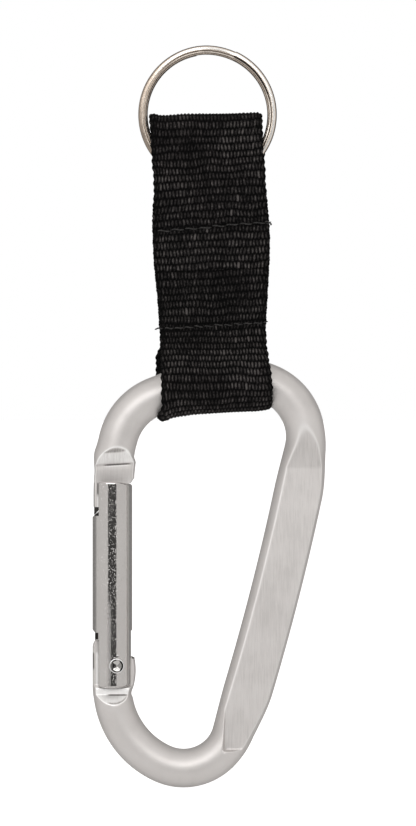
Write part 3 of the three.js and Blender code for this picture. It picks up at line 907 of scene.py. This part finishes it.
def rod_rings():
    """Closed sections across the rod, each with a point on every crease between round and flat."""
    per_arc = 30
    spread = 0.5 - 0.5 * np.cos(np.linspace(0, math.pi, per_arc + 1))
    scan = np.radians(np.linspace(2, 178, 353))
    rings, marks = [], []
    for x0, z0, heading in rod_line():
        out = np.array([-math.sin(math.radians(heading)), math.cos(math.radians(heading))])
        share = spine_share(x0, z0)
        stamped = x0 < STAMP_SIDE and (z0 < -110 or -90 < z0 < -70)
        is_end = stamped or (x0 < -12 and -110 <= z0 < -100)
        reach_out = ROD + (SPINE_OUTER - ROD) * share
        reach_in = ROD + (SPINE_INNER - ROD) * share
        if is_end:
            reach_out, reach_in = end_reach(z0, z0 > -98)
        round_out = ROD + (SPINE_ROUND_OUTER - ROD) * share
        round_in = ROD + (SPINE_ROUND_INNER - ROD) * share

        def place(angle):
            c, s = np.cos(angle), np.sin(angle)
            reach = np.where(c > 0, reach_out, reach_in) * c
            high = np.where(c > 0, round_out, round_in) * np.abs(s)
            x, z = x0 + out[0] * reach, z0 + out[1] * reach
            limit = stamp_limit(x, z)
            return x, z, high, limit

        _, _, high, limit = place(scan)
        over = np.nonzero(high > limit)[0]
        low_gap = math.radians(90 - 8)
        first = min(scan[over[0]] if len(over) else low_gap, low_gap)
        last = max(scan[over[-1]] if len(over) else math.pi - low_gap, math.pi - low_gap)
        turn = 2 * math.pi
        arcs = [(-first, first), (first, last), (last, turn - last), (turn - last, turn - first)]
        angle = np.concatenate([a + (b - a) * spread[:-1] for a, b in arcs])
        x, z, high, limit = place(angle)
        corner = 0.14 + 0.25 * is_end * (limit < BLADE + 0.4)
        y = -np.sign(np.sin(angle)) * soft_min(high, limit, corner)
        rings.append(np.stack([x, y, z], -1))
        marks.append(stamping_and_painted_light(x, z, high, limit, is_end))
    return np.array(rings), np.array(marks)


def hook():
    rings, marks = rod_rings()
    body = tube_mesh("hook_frame", rings, satin_look, 60, flip=True)
    lay_on(body, marks[:, 0], "stamped")
    lay_on(body, marks[:, 1], "burnish_and_painted_light")
    cut = cylinder_y("rivet_cut", PIVOT, 1.3, 8)
    cut_with(body, cut)
    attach(body, "hook")
    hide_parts("hook_body")
    # The barb at the nose's tip, in the gate's notch, painted almost black all over as a painted shadow.
    left, right, top = GATE_AXIS - 3.36, GATE_FLAT - 0.06, -83.4
    low = UPPER_NOTCH - 0.75
    outline = [(left, top), (left, low), (left + 0.12, low), (right, UPPER_NOTCH + 0.05), (right, top)]
    shadow_barb = plate("nose_barb_painted_shadow", outline, 1.1, satin_look)
    # Painted shadow: the whole barb is painted dark.
    lay_on(shadow_barb, np.full(len(shadow_barb.data.vertices), -2.0), "burnish_and_painted_light")
    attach(shadow_barb, "hook")
    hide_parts("hook_body")


def plate(name, outline, half, material):
    """An outline in the hook's plane, given a thickness and softened edges."""
    count = len(outline)
    points = [(x, y, z) for y in (-half, half) for x, z in outline]
    faces = [list(range(count)), [count + i for i in range(count)][::-1]]
    faces += [[i, i + count, (i + 1) % count + count, (i + 1) % count] for i in range(count)]
    obj = mesh_object(name, points, faces, material, 30)
    modifier = obj.modifiers.new("soft_edges", "BEVEL")
    modifier.width = 0.06 * MM
    modifier.segments = 2
    bpy.context.view_layer.objects.active = obj
    bpy.ops.object.modifier_apply(modifier=modifier.name)
    return obj


def cylinder_y(name, at, radius, length, sides=48):
    around = np.linspace(0, 2 * math.pi, sides, endpoint=False)
    rings = []
    for y in (-length / 2, length / 2):
        x = at[0] + radius * np.cos(around)
        z = at[1] + radius * np.sin(around)
        rings.append(np.stack([x, np.full(sides, y), z], -1))
    return tube_mesh(name, rings, satin_look)


def cut_with(obj, cutter):
    """Takes a cutter out of a mesh, for good."""
    modifier = obj.modifiers.new("cut", "BOOLEAN")
    modifier.operation = "DIFFERENCE"
    modifier.solver = "EXACT"
    modifier.object = cutter
    bpy.context.view_layer.objects.active = obj
    bpy.ops.object.modifier_apply(modifier=modifier.name)
    mesh = cutter.data
    bpy.data.objects.remove(cutter)
    bpy.data.meshes.remove(mesh)


# ---- Gate ----


def gate_rings():
    """Rings down the sleeve's outside, up its bore and up its pocket, and how many come before the pocket."""
    sides = 192
    around = np.linspace(0, 2 * math.pi, sides, endpoint=False)
    quarter = np.linspace(0, math.pi / 2, 7)
    rounding = [(GATE_ROUND * (1 - math.sin(a)), GATE_ROUND * (1 - math.cos(a))) for a in quarter]
    profile = [(GATE_RADIUS - inset, GATE_TOP - drop) for inset, drop in rounding]
    z = GATE_TOP - GATE_ROUND - 0.3
    while z > GATE_BOTTOM + GATE_ROUND + 0.2:
        profile.append((GATE_RADIUS, z))
        is_detail = min(abs(z - UPPER_NOTCH + 0.5), abs(z - LOWER_NOTCH + 0.4), abs(z - PIVOT[1] - 1.8)) < 1
        z -= 0.08 if is_detail else 0.3
    profile += [(GATE_RADIUS - inset, GATE_BOTTOM + drop) for inset, drop in rounding[::-1]]
    outside = len(profile)
    profile += [(GATE_BORE + 0.12, GATE_BOTTOM)]
    profile += [(GATE_BORE, z) for z in np.arange(GATE_BOTTOM + 0.12, SPRING_SEAT, 0.3)]
    profile += [(GATE_BORE, SPRING_SEAT), (0.01, SPRING_SEAT)]
    before_pocket = len(profile)
    profile += [(0.01, POCKET_FLOOR), (GATE_BORE, POCKET_FLOOR)]
    profile += [(GATE_BORE, z) for z in np.arange(POCKET_FLOOR + 0.3, GATE_TOP - 0.12, 0.3)]
    profile += [(GATE_BORE + 0.12, GATE_TOP)]
    rings = []
    for radius, z in profile:
        dx, y = radius * np.cos(around), radius * np.sin(around)
        near_top = np.clip(1 - (GATE_TOP - z) / 3, 0, 1)
        near_bottom = np.clip(1 - (z - GATE_BOTTOM) / 3, 0, 1)
        rings.append([dx, y, z - GATE_BOW * near_top * (dx + 0.6) ** 2 + GATE_BOW * near_bottom * dx**2])
    return np.array(rings), outside, before_pocket


def gate():
    rings, outside, before_pocket = gate_rings()
    dx, y, z = rings[:, 0], rings[:, 1], rings[:, 2]
    # The milled flats on the outer side: points beyond them move in to the flat.
    inset = np.where(z > UPPER_NOTCH, GATE_FLAT, np.where(z < LOWER_NOTCH, GATE_FLAT, -100.0))
    inset = np.where((z <= UPPER_NOTCH) & (z > UPPER_NOTCH - 1.4), GATE_FLAT - (UPPER_NOTCH - z), inset)
    inset = np.where((z < LOWER_NOTCH) & (z > SLOT_SHADOW - 0.75), RECESS, inset)
    inset = np.where((z >= LOWER_NOTCH) & (z < LOWER_NOTCH + 0.6), RECESS - (z - LOWER_NOTCH), inset)
    wall = np.zeros((len(rings), 1))
    wall[outside:] = GATE_WALL
    points = np.stack([np.maximum(GATE_AXIS + dx, inset + wall), y, z], -1)
    rows, cols = points.shape[:2]
    faces = [f for f in grid_faces(rows, cols).tolist() if f[0] // cols != before_pocket - 1]
    seat = [(before_pocket - 1) * cols + i for i in range(cols)]
    pocket = [before_pocket * cols + i for i in range(cols)]
    faces += [seat, pocket[::-1]]
    for i in range(cols):
        j = (i + 1) % cols
        faces.append([(rows - 1) * cols + i, (rows - 1) * cols + j, j, i])
    obj = mesh_object("gate_tube", points, [f[::-1] for f in faces], polished_look, 45)
    for low, high in (
        ((GATE_AXIS - 5, -SLOT, UPPER_NOTCH), (GATE_AXIS, SLOT, GATE_TOP + 1)),
        ((GATE_AXIS - 5, -SLOT, GATE_BOTTOM - 1), (GATE_AXIS, SLOT, LOWER_NOTCH - 0.15)),
        ((GATE_AXIS, -SLOT, GATE_BOTTOM - 1), (GATE_AXIS + 5, SLOT, INNER_SLOT)),
    ):
        cut_with(obj, box_object("slot_cut", low, high))
    cut_with(obj, cylinder_y("rivet_cut", PIVOT, RIVET - 0.14, 12))
    obj.data.shade_smooth()
    obj.data.set_sharp_from_angle(angle=math.radians(38))
    place = np.array([v.co for v in obj.data.vertices]) / MM
    x, y, z = place.T
    front = y < 0
    # Painted light on the gate: the slot and the notch are painted dark as painted shade, a painted highlight
    # runs along the notch's ramp, and a painted bright line over a painted dark line sits above the rivet.
    slot_painted_shade = (x < GATE_FLAT - 0.12) & (np.abs(z - SLOT_SHADOW) < 0.62)
    ramp_line = z - UPPER_NOTCH + 0.1 - 0.82 * (x - GATE_FLAT)
    notch_painted_shade = (x < GATE_FLAT + 0.02) & (ramp_line < -0.1) & (z > UPPER_NOTCH - 0.95)
    ramp_painted_highlight = bump(ramp_line, 0, 0.1) * (x < GATE_FLAT + 0.05) * (z < UPPER_NOTCH + 0.05)
    cut_line = bump(z, PIVOT[1] + 1.95, 0.09) - 1.2 * bump(z, PIVOT[1] + 1.7, 0.09)
    painted_edge_line = bump(x, PIVOT[0] + 0.05, 0.3) * cut_line * front
    lay_on(obj, -1.4 * slot_painted_shade - 1.2 * notch_painted_shade + ramp_painted_highlight + painted_edge_line, "painted_light")
    strip = smooth(x, -18.6, -18.4) * (1 - smooth(x, -17.85, -17.7)) * smooth(-z, 98, 103) * front
    lay_on(obj, strip, "scuffed")
    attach(obj, "gate")
    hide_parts("gate_sleeve")


def box_object(name, low, high):
    corners = [(x, y, z) for x in (low[0], high[0]) for y in (low[1], high[1]) for z in (low[2], high[2])]
    faces = [(0, 1, 3, 2), (4, 6, 7, 5), (0, 4, 5, 1), (2, 3, 7, 6), (0, 2, 6, 4), (1, 5, 7, 3)]
    return mesh_object(name, corners, faces, polished_look)


def rivet():
    """A riveted pin: on each face a raised rim, a groove and a head with a staked dimple of four facets."""
    sides = 96
    around = np.linspace(0, 2 * math.pi, sides, endpoint=False)
    face = RIVET_FACE
    # The radius, the height and the painted light (above 0 a painted highlight on the rim, below 0 painted
    # shade in the groove) from the rim's foot inwards
    rim = [
        (RIVET - 0.16, 3.0, 0), (RIVET - 0.1, 3.3, 0), (RIVET, 3.42, 0.4), (RIVET + 0.01, face - 0.1, 0.9),
        (RIVET - 0.04, face, 1), (RIVET - 0.1, face + 0.02, 1), (RIVET - 0.15, face - 0.02, 0.6),
        (RIVET - 0.17, face - 0.1, -1), (RIVET - 0.18, face - 0.4, -1), (RIVET - 0.42, face - 0.4, -1),
        (RIVET - 0.43, face - 0.1, -1), (RIVET - 0.45, face, 0.3),
    ]
    head = [(r, face + 0.03, 0) for r in np.linspace(RIVET - 0.48, 0.02, 18)]
    rings, marks = [], []
    for radius, height, painted_light in (rim + head)[::-1]:
        u, v = radius * np.cos(around), radius * np.sin(around)
        # The dimple's four facets meet at a point below and left of the middle.
        off_u, off_v = np.abs(u + 0.02), np.abs(v)
        dimple = DIMPLE * np.clip(1 - np.maximum(off_u, off_v) / 0.84, 0, 1) * (radius < RIVET - 0.47)
        rings.append(np.stack([PIVOT[0] + u, -(height - dimple), PIVOT[1] + v], -1))
        # Painted shade: the dimple's left facet is painted dark, its right facet a little darker.
        painted_facet_shade = 0.75 * (off_u > off_v) * (u < 0) + 0.35 * (off_u > off_v) * (u > 0)
        marks.append(np.where(dimple > 0.01, -painted_facet_shade, painted_light))
    back = [r * np.array([1, -1, 1]) for r in rings[::-1]]
    obj = tube_mesh("rivet", rings + back, rivet_look, 30)
    lay_on(obj, marks + marks[::-1], "painted_light")
    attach(obj, "gate")
    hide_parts("pivot_rivet")


# ---- Spring, in the gate's bore ----


def spring():
    """A coil between its seat in the gate and the plunger's head."""
    steps = SPRING_TURNS * 40
    t = np.linspace(0, 1, steps + 1)
    # The turns rise more slowly towards the first and the last.
    rise = smooth(t, 0, 1) * 0.25 + t * 0.75
    angle = 2 * math.pi * SPRING_TURNS * t
    line = np.stack(
        [
            GATE_AXIS + SPRING_MEAN * np.cos(angle),
            SPRING_MEAN * np.sin(angle),
            SPRING_TOP + (SPRING_BOTTOM - SPRING_TOP) * rise,
        ],
        -1,
    )
    tangent = np.gradient(line, axis=0)
    tangent /= np.linalg.norm(tangent, axis=1)[:, None]
    outward = np.stack([np.cos(angle), np.sin(angle), np.zeros_like(angle)], -1)
    upward = np.cross(tangent, outward)
    around = np.linspace(0, 2 * math.pi, 12, endpoint=False)
    rings = line[:, None] + SPRING_WIRE * (
        np.cos(around)[None, :, None] * outward[:, None] + np.sin(around)[None, :, None] * upward[:, None]
    )
    obj = tube_mesh("spring_coil", rings, spring_look, 60)
    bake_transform(obj)
    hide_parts("gate_spring")


# ---- Room: floor, world and camera ----


def floor():
    mesh = bpy.data.meshes.new("floor")
    size = 40
    z = FLOOR * MM
    corners = [(-size, -size, z), (size, -size, z), (size, size, z), (-size, size, z)]
    mesh.from_pydata(corners, [], [(0, 1, 2, 3)])
    obj = bpy.data.objects.new("floor", mesh)
    scene.collection.objects.link(obj)
    m = Nodes("pale_floor")
    speck = m.noise((90, 90, 90), 3)
    colour = m.ramp(speck, [(0.3, (0.93, 0.93, 0.93)), (0.7, (0.96, 0.96, 0.96))])
    m.shader.inputs["Emission Color"].default_value = (1, 1, 1, 1)
    m.shader.inputs["Emission Strength"].default_value = FLOOR_GLOW
    mesh.materials.append(m.finish(colour, m.span(speck, 0, 1, 0.8, 0.95), Specular_IOR_Level=0.1))
    obj.visible_glossy = False


def world():
    """Soft white light all round, with a dark gap about the camera, and dimmer behind the object."""
    made = bpy.data.worlds.new("studio")
    scene.world = made
    made.use_nodes = True
    tree = made.node_tree
    tree.nodes.clear()

    def node(kind, **settings):
        n = tree.nodes.new(kind)
        for key, value in settings.items():
            setattr(n, key, value)
        return n

    def math_node(operation, a, b=None):
        n = node("ShaderNodeMath", operation=operation)
        for socket, value in zip(n.inputs, (a, b)):
            if value is None:
                continue
            if isinstance(value, (int, float)):
                socket.default_value = value
            else:
                tree.links.new(value, socket)
        return n.outputs[0]

    where = node("ShaderNodeTexCoord")
    parts = node("ShaderNodeSeparateXYZ")
    tree.links.new(where.outputs["Generated"], parts.inputs[0])
    x, y, z = parts.outputs
    side = math_node("DEGREES", math_node("ARCTAN2", math_node("ABSOLUTE", x), math_node("MULTIPLY", y, -1)))
    tilt = math_node("DEGREES", math_node("ARCSINE", z))

    def step(value, low, high, to_low, to_high):
        n = node("ShaderNodeMapRange", interpolation_type="SMOOTHSTEP")
        for key, number in (("From Min", low), ("From Max", high), ("To Min", to_low), ("To Max", to_high)):
            n.inputs[key].default_value = number
        tree.links.new(value, n.inputs["Value"])
        return n.outputs["Result"]

    beside = step(side, 23.5, 25.5, 0.09, 1)
    past = step(math_node("ABSOLUTE", tilt), 10, 22, 0, 1)
    belt = math_node("MULTIPLY", math_node("MAXIMUM", beside, past), BELT)
    overhead = step(tilt, 15, 60, 0, SKY - BELT)
    under = step(math_node("MULTIPLY", tilt, -1), 30, 65, 1, BELOW / BELT)
    around = math_node("ADD", math_node("MULTIPLY", belt, under), overhead)
    light = math_node("MULTIPLY", around, step(y, 0.12, 0.5, 1, BEHIND))
    lit = node("ShaderNodeBackground")
    tree.links.new(light, lit.inputs["Strength"])
    lit.inputs["Color"].default_value = (1.0, 0.985, 0.97, 1)
    seen = node("ShaderNodeBackground")
    seen.inputs["Color"].default_value = (1, 1, 1, 1)
    seen.inputs["Strength"].default_value = 1.0
    rays = node("ShaderNodeLightPath")
    mix = node("ShaderNodeMixShader")
    tree.links.new(rays.outputs["Is Camera Ray"], mix.inputs[0])
    tree.links.new(lit.outputs[0], mix.inputs[1])
    tree.links.new(seen.outputs[0], mix.inputs[2])
    out = node("ShaderNodeOutputWorld")
    tree.links.new(mix.outputs[0], out.inputs[0])


def light_panel(name, at, aim, size, power):
    data = bpy.data.lights.new(name, "AREA")
    data.shape = "RECTANGLE"
    data.size, data.size_y = size
    data.energy = power
    obj = bpy.data.objects.new(name, data)
    scene.collection.objects.link(obj)
    obj.location = at
    direction = np.array(aim, float) - np.array(at, float)
    obj.rotation_euler = Vector(direction).to_track_quat("-Z", "Y").to_euler()
    return obj


def camera():
    data = bpy.data.cameras.new("camera")
    data.lens = LENS
    data.sensor_width = 36
    data.clip_start, data.clip_end = 0.05, 100
    obj = bpy.data.objects.new("camera", data)
    scene.collection.objects.link(obj)
    obj.location = [v * MM for v in CAMERA_AT]
    obj.rotation_euler = (math.pi / 2, 0, 0)
    scene.camera = obj


camera()
floor()
world()
light_panel("front_panel", PANEL_AT, PANEL_AIM, PANEL_SIZE, PANEL_POWER)
scene.view_settings.view_transform = "Standard"
split_ring()
strap()
seam("upper_seam", UPPER_SEAM, "upper_seam_thread", 2.3, 0.22, 31)
seam("lower_seam", LOWER_SEAM, "lower_seam_thread", 1.8, 0.35, 37)
hook()
gate()
rivet()
spring()
plunger = frame["nodes"]["gate_plunger"].data
plunger.materials.clear()
plunger.materials.append(brass_look)
